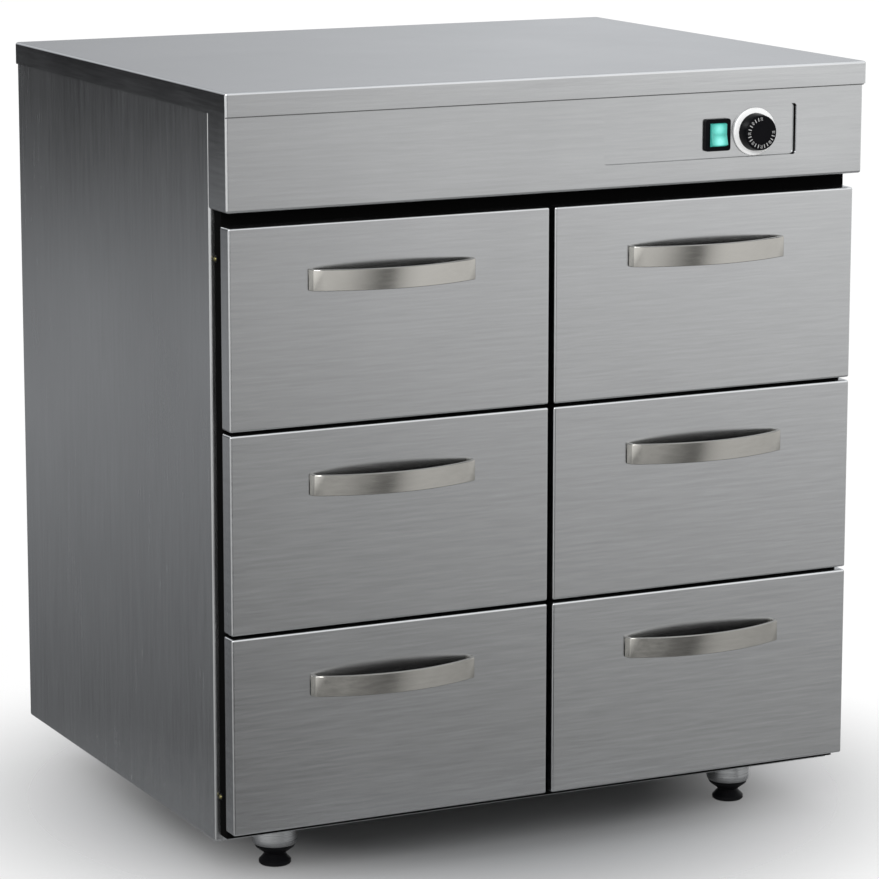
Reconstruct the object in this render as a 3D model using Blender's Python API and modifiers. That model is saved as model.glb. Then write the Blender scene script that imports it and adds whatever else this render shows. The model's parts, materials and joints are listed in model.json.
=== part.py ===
"""Stainless-steel warming cabinet with six heated drawers on telescopic slides.

Units are metres, +Z is up and the drawers open towards -Y. The origin lies on the floor, under the
middle of the whole object with its handles.
"""
import math

import bmesh
import bpy
from mathutils import Matrix, Vector

# Fits and sheet metal
FIT_GAP = 0.0003
SLIDE_GAP = 0.0004
WELD_LAP = 0.0005
WORKTOP_SHEET = 0.0015
BODY_SHEET = 0.0012
LINER_SHEET = 0.001
DRAWER_SHEET = 0.001
BEND_RADIUS = 0.003
DRAWER_BEND_RADIUS = 0.0025
BEND_SEGMENTS = 3
TURN_STEPS = 32
ARC_STEPS = 4

# Worktop and body
WORKTOP_WIDTH = 0.800
WORKTOP_DEPTH = 0.650
WORKTOP_SKIRT = 0.026
BODY_FRONT_INSET = 0.052
PANEL_FLANGE = 0.008
BASE_LIP = 0.009
SIDE_INSULATION = 0.0157
BACK_INSULATION = 0.022

# Drawers
DRAWER_COLUMNS = ("left", "right")
DRAWER_ROWS = ("lower", "middle", "upper")
DRAWER_FRONT_HEIGHT = 0.2235
DRAWER_FRONT_DEPTH = 0.021
DRAWER_INSET = 0.012
DRAWER_ROW_GAP = 0.0035
DRAWER_COLUMN_GAP = 0.0065
DRAWER_SIDE_MARGIN = 0.0055
DRAWER_BASE_MARGIN = 0.0165
DRAWER_BACK_GAP = 0.0436
DRAWER_BOX_HEIGHT = 0.183
DRAWER_BOX_RISE = 0.015
SEAL_SIDE_MARGIN = 0.0065
SEAL_BASE_RISE = 0.008
SEAL_LAP = 0.012

# Telescopic slides
SLIDE_LENGTH = 0.500
SLIDE_SPACE = 0.0135
SLIDE_HALF_HEIGHT = 0.0225
SLIDE_SHEET = 0.0015
SLIDE_LIP = 0.010
SLIDE_RISE = 0.050
RUNNER_FLANGE = 0.012

# Handles
HANDLE_LENGTH = 0.202
HANDLE_HEIGHT = 0.0235
HANDLE_STANDOFF = 0.030
HANDLE_END_DEPTH = 0.008
HANDLE_END_SLANT = 0.003
HANDLE_STRIP = 0.004
HANDLE_LEG = 0.007
HANDLE_DROP = 0.050
HANDLE_EDGE = 0.0007
HANDLE_ARC_STEPS = 16

# Control fascia, switch and dial
FASCIA_HEIGHT = 0.104
FASCIA_INSET = 0.004
FASCIA_DRAWER_GAP = 0.017
POCKET_WIDTH = 0.250
POCKET_HEIGHT = 0.0585
POCKET_DEPTH = 0.0045
POCKET_RISE = 0.027
POCKET_SIDE_MARGIN = 0.0885
POCKET_CORNER = 0.004
SWITCH_FROM_POCKET_END = 0.1025
SWITCH_RISE = 0.0267
SWITCH_WIDTH = 0.0325
SWITCH_HEIGHT = 0.0365
SWITCH_BEZEL = 0.0035
SWITCH_CORNER = 0.003
SWITCH_WALL = 0.0014
SWITCH_BODY_DEPTH = 0.024
ROCKER_WIDTH = 0.0200
ROCKER_RADIUS = 0.0131
ROCKER_PROUD = 0.0024
ROCKER_CROWN = 0.0042
ROCKER_FRONT_ANGLE = math.radians(27.0)
ROCKER_BACK_ANGLE = math.radians(14.0)
ROCKER_TILT = math.radians(7.0)
DIAL_FROM_POCKET_END = 0.0535
DIAL_RISE = 0.028
DIAL_RING_RADIUS = 0.0274
DIAL_RING_DEPTH = 0.0025
DIAL_RING_EDGE = 0.0008
KNOB_RADIUS = 0.0215
KNOB_FACE_RADIUS = 0.0200
KNOB_DEPTH = 0.014
KNOB_EDGE = 0.0015
KNOB_BORE_DEPTH = 0.009
SHAFT_RADIUS = 0.003
SHAFT_GAP = 0.0002
THERMOSTAT_WIDTH = 0.046
THERMOSTAT_HEIGHT = 0.042
THERMOSTAT_DEPTH = 0.036

# Heating element, over the base
ELEMENT_RADIUS = 0.00425
ELEMENT_BEND = 0.030
ELEMENT_HALF_WIDTH = 0.325
ELEMENT_INNER_HALF_WIDTH = 0.200
ELEMENT_TERMINAL_SPREAD = 0.050
ELEMENT_FRONT_GAP = 0.098
ELEMENT_BACK_GAP = 0.047
ELEMENT_CROSS_GAP = 0.142
ELEMENT_TAIL = 0.012
ELEMENT_RIB_HEIGHT = 0.012
ELEMENT_RIB_WIDTH = 0.010
ELEMENT_RIB_LENGTH = 0.420
ELEMENT_HOLE_GAP = 0.0005
TERMINAL_BAY_WIDTH = 0.120
TERMINAL_BAY_HEIGHT = 0.060

# Cable gland in the base panel, under the terminal bay
GLAND_NECK_RADIUS = 0.010
GLAND_FLANGE_RADIUS = 0.015
GLAND_DOME_RADIUS = 0.011
GLAND_BORE_RADIUS = 0.005
GLAND_FLANGE_DEPTH = 0.006
GLAND_DEPTH = 0.018
GLAND_NECK_DEPTH = 0.010

# Feet
FOOT_HEIGHT = 0.055
FOOT_SIDE_INSET = 0.100
FOOT_END_INSET = 0.0635
FOOT_CUP_RADIUS = 0.0258
FOOT_CUP_RIM_RADIUS = 0.0235
FOOT_CUP_TAPER = 0.007
FOOT_PAD_RADIUS = 0.0185
FOOT_PAD_HEIGHT = 0.0065
FOOT_PAD_EDGE = 0.0015
FOOT_NECK_RADIUS = 0.0115
FOOT_NECK_RISE = 0.0125
FOOT_COLLAR_RADIUS = 0.0235
FOOT_COLLAR_RISE = 0.0205
FOOT_COLLAR_HEIGHT = 0.0035
FOOT_STEM_RADIUS = 0.008
FOOT_STEM_LENGTH = 0.028

# Levels, from the floor up
body_bottom = FOOT_HEIGHT
drawer_pitch = DRAWER_FRONT_HEIGHT + DRAWER_ROW_GAP
drawer_bottom = body_bottom + DRAWER_BASE_MARGIN
drawer_stack_top = drawer_bottom + len(DRAWER_ROWS) * drawer_pitch - DRAWER_ROW_GAP
fascia_bottom = drawer_stack_top + FASCIA_DRAWER_GAP
skirt_bottom = fascia_bottom + FASCIA_HEIGHT
worktop_top = skirt_bottom + WORKTOP_SKIRT
panel_top = worktop_top - WORKTOP_SHEET - FIT_GAP
fascia_top = worktop_top - BEND_RADIUS - FIT_GAP
base_top = body_bottom + BODY_SHEET
chamber_floor = base_top + FIT_GAP
ceiling_top = fascia_bottom - FIT_GAP
ceiling_bottom = ceiling_top - BODY_SHEET
chamber_top = ceiling_bottom - FIT_GAP

# Places from front to back
handle_overhang = HANDLE_STANDOFF - DRAWER_INSET
worktop_front = handle_overhang - (WORKTOP_DEPTH + handle_overhang) / 2
worktop_back = worktop_front + WORKTOP_DEPTH
fascia_front = worktop_front + FASCIA_INSET
drawer_face = worktop_front + DRAWER_INSET
drawer_rear = drawer_face + DRAWER_FRONT_DEPTH
body_front = worktop_front + BODY_FRONT_INSET
body_back = worktop_back - WORKTOP_SHEET - FIT_GAP
frame_rear = body_front + BODY_SHEET
chamber_front = body_front + BEND_RADIUS
back_panel_rear = body_back - BODY_SHEET - FIT_GAP
back_panel_front = back_panel_rear - BODY_SHEET
insulation_rear = back_panel_front - FIT_GAP
insulation_front = insulation_rear - BACK_INSULATION
liner_rear = insulation_front - FIT_GAP
liner_front = liner_rear - LINER_SHEET
chamber_back = liner_front - FIT_GAP
drawer_box_length = chamber_back - DRAWER_BACK_GAP - drawer_rear
slide_front = chamber_front
slide_back = slide_front + SLIDE_LENGTH

# Places from the middle to the sides
body_half = WORKTOP_WIDTH / 2 - WORKTOP_SHEET - FIT_GAP
flange_half = body_half - PANEL_FLANGE - FIT_GAP
inside_half = body_half - BODY_SHEET - FIT_GAP
insulation_inner_half = inside_half - SIDE_INSULATION
runner_outer_half = insulation_inner_half - FIT_GAP
runner_face_half = runner_outer_half - LINER_SHEET
drawer_inner_edge = DRAWER_COLUMN_GAP / 2
drawer_outer_edge = body_half - DRAWER_SIDE_MARGIN
column_middle = (drawer_inner_edge + drawer_outer_edge) / 2
column_half = runner_face_half - column_middle
centre_face_half = column_middle - column_half
drawer_half = (drawer_outer_edge - drawer_inner_edge) / 2
box_half = column_half - SLIDE_SPACE

# Control fascia
pocket_right = body_half - POCKET_SIDE_MARGIN
pocket_left = pocket_right - POCKET_WIDTH
pocket_bottom = fascia_bottom + POCKET_RISE
pocket_top = pocket_bottom + POCKET_HEIGHT
pocket_floor = fascia_front + POCKET_DEPTH
pocket_rear = pocket_floor + BODY_SHEET
dial_height = pocket_bottom + DIAL_RISE
switch_height = pocket_bottom + SWITCH_RISE
control_seat = pocket_floor - FIT_GAP
switch_middle = pocket_right - SWITCH_FROM_POCKET_END
dial_middle = pocket_right - DIAL_FROM_POCKET_END
rocker_pivot = control_seat - SWITCH_BEZEL - ROCKER_PROUD + ROCKER_CROWN
rocker_window_half = ROCKER_WIDTH / 2 + FIT_GAP
rocker_window_reach = ROCKER_RADIUS + FIT_GAP
rocker_bay_rear = rocker_pivot + ROCKER_RADIUS * math.sin(ROCKER_BACK_ANGLE + ROCKER_TILT) + FIT_GAP
knob_seat = control_seat - DIAL_RING_DEPTH - FIT_GAP

# Slides: half heights of the nested channels
fixed_reach = SLIDE_HALF_HEIGHT
middle_reach = fixed_reach - SLIDE_SHEET - SLIDE_GAP
rail_reach = middle_reach - SLIDE_SHEET - SLIDE_GAP
middle_web = SLIDE_GAP + SLIDE_SHEET
rail_tip = middle_web + SLIDE_GAP

# Heating element
element_height = base_top + ELEMENT_RIB_HEIGHT + FIT_GAP + ELEMENT_RADIUS
centre_runner_bottom = element_height + ELEMENT_RADIUS + ELEMENT_HOLE_GAP
element_front = chamber_front + ELEMENT_FRONT_GAP
element_back = liner_front - ELEMENT_BACK_GAP
element_cross = liner_front - ELEMENT_CROSS_GAP
element_end = liner_rear + ELEMENT_TAIL

# Feet
foot_across = body_half - FOOT_SIDE_INSET
foot_front = body_front + FOOT_END_INSET
foot_back = body_back - FOOT_END_INSET
cup_bottom = FOOT_COLLAR_RISE + FOOT_COLLAR_HEIGHT + FIT_GAP
cup_top = FOOT_HEIGHT - FIT_GAP

# Cable gland
gland_place = (0.0, (insulation_front + insulation_rear) / 2, body_bottom)

DIRECTIONS = {
    "-X": Vector((-1.0, 0.0, 0.0)),
    "+X": Vector((1.0, 0.0, 0.0)),
    "-Y": Vector((0.0, -1.0, 0.0)),
    "+Y": Vector((0.0, 1.0, 0.0)),
    "-Z": Vector((0.0, 0.0, -1.0)),
    "+Z": Vector((0.0, 0.0, 1.0)),
}
QUARTER_TURN = math.pi / 2
SPIN_TURNS = {"+Z": 0.0, "-Z": math.pi, "-Y": QUARTER_TURN, "+Y": -QUARTER_TURN}
PRISM_TURNS = {
    "X": Matrix.Rotation(QUARTER_TURN, 4, "Z") @ Matrix.Rotation(QUARTER_TURN, 4, "X"),
    "Y": Matrix.Rotation(QUARTER_TURN, 4, "X"),
    "Z": Matrix.Identity(4),
}
WELD_DISTANCE = 0.000001
OUTLINE_SCALE = 1000.0
FLAT_ANGLE = math.radians(0.1)
SHARP_ANGLE = math.radians(35.0)


def clear_scene():
    for thing in list(bpy.data.objects):
        bpy.data.objects.remove(thing, do_unlink=True)


def new_collection(name):
    collection = bpy.data.collections.new(name)
    bpy.context.scene.collection.children.link(collection)
    return collection


def new_material(name, colour, metallic, roughness):
    material = bpy.data.materials.new(name)
    material.use_nodes = True
    shader = material.node_tree.nodes["Principled BSDF"]
    shader.inputs["Base Color"].default_value = (*colour, 1.0)
    shader.inputs["Metallic"].default_value = metallic
    shader.inputs["Roughness"].default_value = roughness
    material.diffuse_color = (*colour, 1.0)
    return material


clear_scene()
PARTS = new_collection("warming_cabinet")
CUTTERS = new_collection("cutters")
STEEL = new_material("brushed_steel", (0.56, 0.57, 0.57), 1.0, 0.35)
LINER_STEEL = new_material("liner_steel", (0.50, 0.51, 0.51), 1.0, 0.45)
HANDLE_METAL = new_material("satin_nickel", (0.60, 0.59, 0.56), 1.0, 0.30)
SLIDE_ZINC = new_material("zinc_slides", (0.52, 0.53, 0.55), 1.0, 0.40)
SEAL_RUBBER = new_material("seal_rubber", (0.012, 0.012, 0.013), 0.0, 0.70)
BLACK_PLASTIC = new_material("black_plastic", (0.015, 0.015, 0.016), 0.0, 0.40)
BLACK_STEEL = new_material("black_coated_steel", (0.020, 0.020, 0.021), 0.0, 0.45)
WHITE_PLASTIC = new_material("white_plastic", (0.85, 0.85, 0.84), 0.0, 0.35)
LENS_GREEN = new_material("lit_green_lens", (0.10, 0.60, 0.52), 0.0, 0.20)
ELEMENT_STEEL = new_material("element_steel", (0.30, 0.29, 0.27), 1.0, 0.50)
WOOL = new_material("insulation_wool", (0.70, 0.66, 0.52), 0.0, 0.95)


def add_part(name, mesh, material, location):
    part = bpy.data.objects.new(name, mesh)
    part.location = location
    part.data.materials.append(material)
    PARTS.objects.link(part)
    return part


def as_cutter(part):
    """Turn a part into a hidden operand for a Boolean."""
    PARTS.objects.unlink(part)
    CUTTERS.objects.link(part)
    part.hide_render = True
    part.display_type = "WIRE"
    return part


def add_boolean(part, operand, operation):
    modifier = part.modifiers.new(operation.lower(), "BOOLEAN")
    modifier.operation = operation
    modifier.solver = "EXACT"
    modifier.object = as_cutter(operand)


def join(part, operand):
    add_boolean(part, operand, "UNION")


def cut(part, operand):
    add_boolean(part, operand, "DIFFERENCE")


def add_bevel(part, width, segments):
    modifier = part.modifiers.new("bends", "BEVEL")
    modifier.width = width
    modifier.segments = segments
    modifier.limit_method = "ANGLE"
    modifier.angle_limit = SHARP_ANGLE


def block(name, low, high, material, open_sides=()):
    """A box between two corners, with the faces on its open sides left off."""
    low = Vector(low)
    high = Vector(high)
    mesh = bpy.data.meshes.new(name)
    shape = bmesh.new()
    bmesh.ops.create_cube(shape, size=1.0)
    bmesh.ops.scale(shape, vec=high - low, verts=shape.verts)
    shape.normal_update()
    removed = []
    for face in shape.faces:
        if any(face.normal.dot(DIRECTIONS[side]) > 0.5 for side in open_sides):
            removed.append(face)
    bmesh.ops.delete(shape, geom=removed, context="FACES")
    shape.to_mesh(mesh)
    shape.free()
    return add_part(name, mesh, material, (low + high) / 2)


def folded(name, low, high, open_sides, sheet, bend, material):
    """A folded sheet: a box without its open sides, with rounded bends and an inward thickness."""
    part = block(name, low, high, material, open_sides)
    add_bevel(part, bend, BEND_SEGMENTS)
    thickness = part.modifiers.new("sheet", "SOLIDIFY")
    thickness.thickness = sheet
    thickness.offset = -1.0
    thickness.use_even_offset = True
    return part


def prism(name, loops, axis, start, stop, material, tidy_caps=False):
    """An outline with its holes, given in the other two axes, extruded along one axis.

    The curve is filled in millimetres, because filling rounds off very small distances.
    """
    curve = bpy.data.curves.new(name, "CURVE")
    curve.dimensions = "2D"
    curve.fill_mode = "BOTH"
    curve.extrude = OUTLINE_SCALE * abs(stop - start) / 2
    middle = sum((Vector(point) for point in loops[0]), Vector((0.0, 0.0))) / len(loops[0])
    for loop in loops:
        spline = curve.splines.new("POLY")
        spline.points.add(len(loop) - 1)
        spline.use_cyclic_u = True
        for point, place in zip(spline.points, loop):
            offset = OUTLINE_SCALE * (Vector(place) - middle)
            point.co = (offset[0], offset[1], 0.0, 1.0)
    outline = bpy.data.objects.new(name + "_outline", curve)
    bpy.context.scene.collection.objects.link(outline)
    bpy.context.view_layer.update()
    evaluated = outline.evaluated_get(bpy.context.evaluated_depsgraph_get())
    mesh = bpy.data.meshes.new_from_object(evaluated)
    bpy.data.objects.remove(outline, do_unlink=True)
    mesh.transform(PRISM_TURNS[axis] @ Matrix.Scale(1.0 / OUTLINE_SCALE, 4))
    shape = bmesh.new()
    shape.from_mesh(mesh)
    bmesh.ops.remove_doubles(shape, verts=shape.verts, dist=WELD_DISTANCE)
    if tidy_caps:
        bmesh.ops.dissolve_limit(shape, angle_limit=FLAT_ANGLE, verts=shape.verts, edges=shape.edges)
    bmesh.ops.recalc_face_normals(shape, faces=shape.faces)
    shape.to_mesh(mesh)
    shape.free()
    mesh.name = name
    depth = (start + stop) / 2
    places = {
        "X": (depth, middle[0], middle[1]),
        "Y": (middle[0], depth, middle[1]),
        "Z": (middle[0], middle[1], depth),
    }
    return add_part(name, mesh, material, places[axis])


def turned(name, profile, location, material, facing="+Z", closed=False):
    """A turned piece: pairs of radius and height, spun about an axis that faces one way."""
    edges = [(index, index + 1) for index in range(len(profile) - 1)]
    if closed:
        edges.append((len(profile) - 1, 0))
    mesh = bpy.data.meshes.new(name)
    mesh.from_pydata([(radius, 0.0, height) for radius, height in profile], edges, [])
    part = add_part(name, mesh, material, location)
    part.rotation_euler.x = SPIN_TURNS[facing]
    spin = part.modifiers.new("spin", "SCREW")
    spin.steps = TURN_STEPS
    spin.render_steps = TURN_STEPS
    spin.use_merge_vertices = True
    spin.merge_threshold = WELD_DISTANCE
    return part


def disc(radius, low, high):
    """Profile of a plain round bar."""
    return [(0.0, high), (radius, high), (radius, low), (0.0, low)]


def arc(centre, radius, start, stop, steps):
    """Points along an arc, angles in radians."""
    points = []
    for index in range(steps + 1):
        angle = start + (stop - start) * index / steps
        points.append((centre[0] + radius * math.cos(angle), centre[1] + radius * math.sin(angle)))
    return points


def rectangle(left, right, bottom, top):
    return [(left, bottom), (right, bottom), (right, top), (left, top)]


def rounded_rectangle(left, right, bottom, top, radius):
    """A rectangle with round corners, anticlockwise from its lower left corner."""
    centres = rectangle(left + radius, right - radius, bottom + radius, top - radius)
    points = []
    for index, centre in enumerate(centres):
        start = math.pi + index * QUARTER_TURN
        points.extend(arc(centre, radius, start, start + QUARTER_TURN, ARC_STEPS))
    return points


def joint_axis(name, location):
    """An empty on a moving body's axis, which carries the body's pieces."""
    axis = bpy.data.objects.new(name, None)
    axis.location = location
    axis.empty_display_size = 0.03
    PARTS.objects.link(axis)
    return axis


def carry(axis, part):
    part.parent = axis
    part.location = part.location - axis.location


def row_bottom(row):
    return drawer_bottom + DRAWER_ROWS.index(row) * drawer_pitch


def column_side(column):
    """-1 for the left column, +1 for the right one."""
    return -1 if column == DRAWER_COLUMNS[0] else 1


def slide_height(row):
    return row_bottom(row) + DRAWER_BOX_RISE + SLIDE_RISE


def drawer_windows():
    """Six rectangles in X and Z that the drawer boxes and slides pass through."""
    windows = []
    for column in DRAWER_COLUMNS:
        middle = column_side(column) * column_middle
        for row in DRAWER_ROWS:
            low = row_bottom(row) + SEAL_LAP
            high = row_bottom(row) + DRAWER_FRONT_HEIGHT - SEAL_LAP
            windows.append(rectangle(middle - column_half, middle + column_half, low, high))
    return windows


def build_worktop():
    low = (-WORKTOP_WIDTH / 2, worktop_front, skirt_bottom)
    high = (WORKTOP_WIDTH / 2, worktop_back, worktop_top)
    folded("worktop", low, high, ("-Z",), WORKTOP_SHEET, BEND_RADIUS, STEEL)


def build_side_panels():
    for name, side, inner in (("left_side_panel", -1, "+X"), ("right_side_panel", 1, "-X")):
        edges = sorted((side * body_half, side * (body_half - PANEL_FLANGE)))
        low = (edges[0], body_front, body_bottom)
        high = (edges[1], body_back, panel_top)
        folded(name, low, high, (inner,), BODY_SHEET, BEND_RADIUS, STEEL)


def build_base():
    low = (-flange_half, body_front, body_bottom)
    high = (flange_half, back_panel_rear, body_bottom + BASE_LIP)
    base = folded("base_panel", low, high, ("+Z", "+Y", "-X", "+X"), BODY_SHEET, BEND_RADIUS, STEEL)
    for index, across in enumerate((-ELEMENT_HALF_WIDTH, -ELEMENT_INNER_HALF_WIDTH,
                                    ELEMENT_INNER_HALF_WIDTH, ELEMENT_HALF_WIDTH)):
        rib_low = (across - ELEMENT_RIB_WIDTH / 2, element_front, base_top - WELD_LAP)
        rib_high = (across + ELEMENT_RIB_WIDTH / 2, element_front + ELEMENT_RIB_LENGTH,
                    base_top + ELEMENT_RIB_HEIGHT)
        join(base, block("element_rib_%d" % index, rib_low, rib_high, STEEL))
    hole = disc(GLAND_NECK_RADIUS + FIT_GAP, -GLAND_DEPTH, GLAND_DEPTH)
    cut(base, turned("gland_hole", hole, gland_place, STEEL, "-Z"))


def build_cable_gland():
    profile = [
        (GLAND_BORE_RADIUS, GLAND_DEPTH),
        (GLAND_DOME_RADIUS, GLAND_DEPTH),
        (GLAND_DOME_RADIUS, GLAND_FLANGE_DEPTH),
        (GLAND_FLANGE_RADIUS, GLAND_FLANGE_DEPTH),
        (GLAND_FLANGE_RADIUS, FIT_GAP),
        (GLAND_NECK_RADIUS, FIT_GAP),
        (GLAND_NECK_RADIUS, -GLAND_NECK_DEPTH),
        (GLAND_BORE_RADIUS, -GLAND_NECK_DEPTH),
    ]
    turned("cable_gland", profile, gland_place, BLACK_PLASTIC, "-Z", closed=True)


def build_back():
    half = body_half - BEND_RADIUS
    low = (-half, back_panel_front, body_bottom + BEND_RADIUS)
    block("back_panel", low, (half, back_panel_rear, panel_top - BEND_RADIUS), STEEL)
    low = (-runner_outer_half, liner_front, chamber_floor)
    liner = block("back_liner", low, (runner_outer_half, liner_rear, chamber_top), LINER_STEEL)
    hole = disc(ELEMENT_RADIUS + ELEMENT_HOLE_GAP, -ELEMENT_TAIL, ELEMENT_TAIL)
    for side in (-1, 1):
        place = (side * ELEMENT_TERMINAL_SPREAD / 2, liner_front, element_height)
        cut(liner, turned("element_hole_%d" % side, hole, place, STEEL, "+Y"))


def build_front_frame():
    outer = rectangle(-flange_half, flange_half, body_bottom + BASE_LIP + FIT_GAP, chamber_top)
    prism("front_frame", [outer] + drawer_windows(), "Y", body_front, frame_rear, STEEL)


def build_front_seal():
    half = body_half - SEAL_SIDE_MARGIN
    outer = rectangle(-half, half, body_bottom + SEAL_BASE_RISE, fascia_bottom - FIT_GAP)
    loops = [outer] + drawer_windows()
    prism("front_seal", loops, "Y", drawer_rear + FIT_GAP, body_front - FIT_GAP, SEAL_RUBBER)


def build_chamber_ceiling():
    low = (-flange_half, body_front, ceiling_bottom)
    block("chamber_ceiling", low, (flange_half, insulation_rear, ceiling_top), LINER_STEEL)


def build_insulation():
    low = chamber_floor + DRAWER_BEND_RADIUS
    high = chamber_top - DRAWER_BEND_RADIUS
    outline = [
        (-inside_half, chamber_front),
        (-insulation_inner_half, chamber_front),
        (-insulation_inner_half, insulation_front),
        (insulation_inner_half, insulation_front),
        (insulation_inner_half, chamber_front),
        (inside_half, chamber_front),
        (inside_half, insulation_rear),
        (-inside_half, insulation_rear),
    ]
    wool = prism("wall_insulation", [outline], "Z", low, high, WOOL)
    bay_low = (-TERMINAL_BAY_WIDTH / 2, insulation_front - WELD_LAP, low - WELD_LAP)
    bay_high = (TERMINAL_BAY_WIDTH / 2, insulation_rear + WELD_LAP, low + TERMINAL_BAY_HEIGHT)
    cut(wool, block("terminal_bay", bay_low, bay_high, WOOL))


def runner_panel(name, face, inward, bottom):
    """A flanged wall with two lips for each drawer slide, which face into the column."""
    edges = sorted((face, face - inward * RUNNER_FLANGE))
    low = (edges[0], chamber_front, bottom)
    high = (edges[1], chamber_back, chamber_top)
    away = "-X" if inward > 0 else "+X"
    panel = folded(name, low, high, (away, "-Y", "+Y"), LINER_SHEET, DRAWER_BEND_RADIUS, LINER_STEEL)
    edges = sorted((face - inward * WELD_LAP, face + inward * SLIDE_LIP))
    for row in DRAWER_ROWS:
        middle = slide_height(row)
        for lip_bottom in (middle - fixed_reach, middle + fixed_reach - SLIDE_SHEET):
            low = (edges[0], chamber_front, lip_bottom)
            high = (edges[1], chamber_front + SLIDE_LENGTH, lip_bottom + SLIDE_SHEET)
            join(panel, block("%s_%s_lip" % (name, row), low, high, LINER_STEEL))


def build_runner_panels():
    runner_panel("left_runner_panel", -runner_face_half, 1, chamber_floor)
    runner_panel("left_centre_runner_panel", -centre_face_half, -1, centre_runner_bottom)
    runner_panel("right_centre_runner_panel", centre_face_half, 1, centre_runner_bottom)
    runner_panel("right_runner_panel", runner_face_half, -1, chamber_floor)


def channel_outline(face, inward, height, web, tips, reach):
    """Section of a slide channel between a web and the tips of its two flanges."""
    inner = reach - SLIDE_SHEET
    web_inside = web + math.copysign(SLIDE_SHEET, tips - web)
    section = [(web, -reach), (tips, -reach), (tips, -inner), (web_inside, -inner)]
    section.extend([(web_inside, inner), (tips, inner), (tips, reach), (web, reach)])
    return [(face + inward * across, height + up) for across, up in section]


def fillet(points, radius, steps):
    """Round the corners of a path in X and Y."""
    path = [points[0]]
    for before, corner, after in zip(points, points[1:], points[2:]):
        into = (Vector(corner) - Vector(before)).normalized()
        out = (Vector(after) - Vector(corner)).normalized()
        for index in range(steps + 1):
            angle = QUARTER_TURN * index / steps
            place = Vector(corner) + radius * (math.sin(angle) - 1.0) * into
            path.append(place + radius * (1.0 - math.cos(angle)) * out)
    path.append(points[-1])
    return path


def build_heating_element():
    spread = ELEMENT_TERMINAL_SPREAD / 2
    half_path = [
        (spread, element_end),
        (spread, element_back),
        (ELEMENT_HALF_WIDTH, element_back),
        (ELEMENT_HALF_WIDTH, element_front),
        (ELEMENT_INNER_HALF_WIDTH, element_front),
        (ELEMENT_INNER_HALF_WIDTH, element_cross),
    ]
    corners = half_path + [(-across, along) for across, along in reversed(half_path)]
    path = fillet(corners, ELEMENT_BEND, ARC_STEPS)
    curve = bpy.data.curves.new("heating_element", "CURVE")
    curve.dimensions = "3D"
    curve.bevel_depth = ELEMENT_RADIUS
    curve.bevel_resolution = 2
    curve.use_fill_caps = True
    spline = curve.splines.new("POLY")
    spline.points.add(len(path) - 1)
    for point, place in zip(spline.points, path):
        point.co = (place[0], place[1], 0.0, 1.0)
    add_part("heating_element", curve, ELEMENT_STEEL, (0.0, 0.0, element_height))


def build_fascia():
    low = (-body_half, fascia_front, fascia_bottom)
    high = (body_half, body_front - FIT_GAP, fascia_top)
    fascia = folded("control_fascia", low, high, ("+Y", "+Z"), BODY_SHEET, BEND_RADIUS, STEEL)
    tray = rounded_rectangle(pocket_left - BODY_SHEET, pocket_right + BODY_SHEET,
                             pocket_bottom - BODY_SHEET, pocket_top + BODY_SHEET,
                             POCKET_CORNER + BODY_SHEET)
    tray_front = fascia_front + BODY_SHEET / 2
    join(fascia, prism("pocket_tray", [tray], "Y", tray_front, pocket_rear, STEEL))
    pocket = rounded_rectangle(pocket_left, pocket_right, pocket_bottom, pocket_top, POCKET_CORNER)
    cut(fascia, prism("pocket", [pocket], "Y", fascia_front - POCKET_DEPTH, pocket_floor, STEEL))
    opening = switch_body_outline(FIT_GAP)
    cut(fascia, prism("switch_opening", [opening], "Y", fascia_front, pocket_rear + POCKET_DEPTH, STEEL))
    hole = disc(SHAFT_RADIUS + SHAFT_GAP, -POCKET_DEPTH, POCKET_DEPTH)
    place = (dial_middle, pocket_floor, dial_height)
    cut(fascia, turned("shaft_hole", hole, place, STEEL, "-Y"))


def switch_body_outline(gap):
    half = rocker_window_half + SWITCH_WALL + gap
    reach = rocker_window_reach + SWITCH_WALL + gap
    return rectangle(switch_middle - half, switch_middle + half, switch_height - reach, switch_height + reach)


def build_switch():
    bezel = rounded_rectangle(switch_middle - SWITCH_WIDTH / 2, switch_middle + SWITCH_WIDTH / 2,
                              switch_height - SWITCH_HEIGHT / 2, switch_height + SWITCH_HEIGHT / 2,
                              SWITCH_CORNER)
    front = control_seat - SWITCH_BEZEL
    housing = prism("switch_housing", [bezel], "Y", front, control_seat, BLACK_PLASTIC)
    body = switch_body_outline(0.0)
    join(housing, prism("switch_body", [body], "Y", control_seat - WELD_LAP,
                        control_seat + SWITCH_BODY_DEPTH, BLACK_PLASTIC))
    bay = rectangle(switch_middle - rocker_window_half, switch_middle + rocker_window_half,
                    switch_height - rocker_window_reach, switch_height + rocker_window_reach)
    cut(housing, prism("rocker_bay", [bay], "Y", front - SWITCH_BEZEL, rocker_bay_rear, BLACK_PLASTIC))
    top_end = arc((0.0, 0.0), ROCKER_RADIUS, QUARTER_TURN + ROCKER_FRONT_ANGLE,
                  QUARTER_TURN - ROCKER_BACK_ANGLE, ARC_STEPS)
    outline = [(-ROCKER_CROWN, 0.0)] + top_end + [(back, -up) for back, up in reversed(top_end)]
    rocker = prism("switch_rocker", [outline], "X", -ROCKER_WIDTH / 2, ROCKER_WIDTH / 2, LENS_GREEN)
    pivot = joint_axis("rocker_axis", (switch_middle, rocker_pivot, switch_height))
    pivot.rotation_euler.x = -ROCKER_TILT
    rocker.parent = pivot


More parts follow.
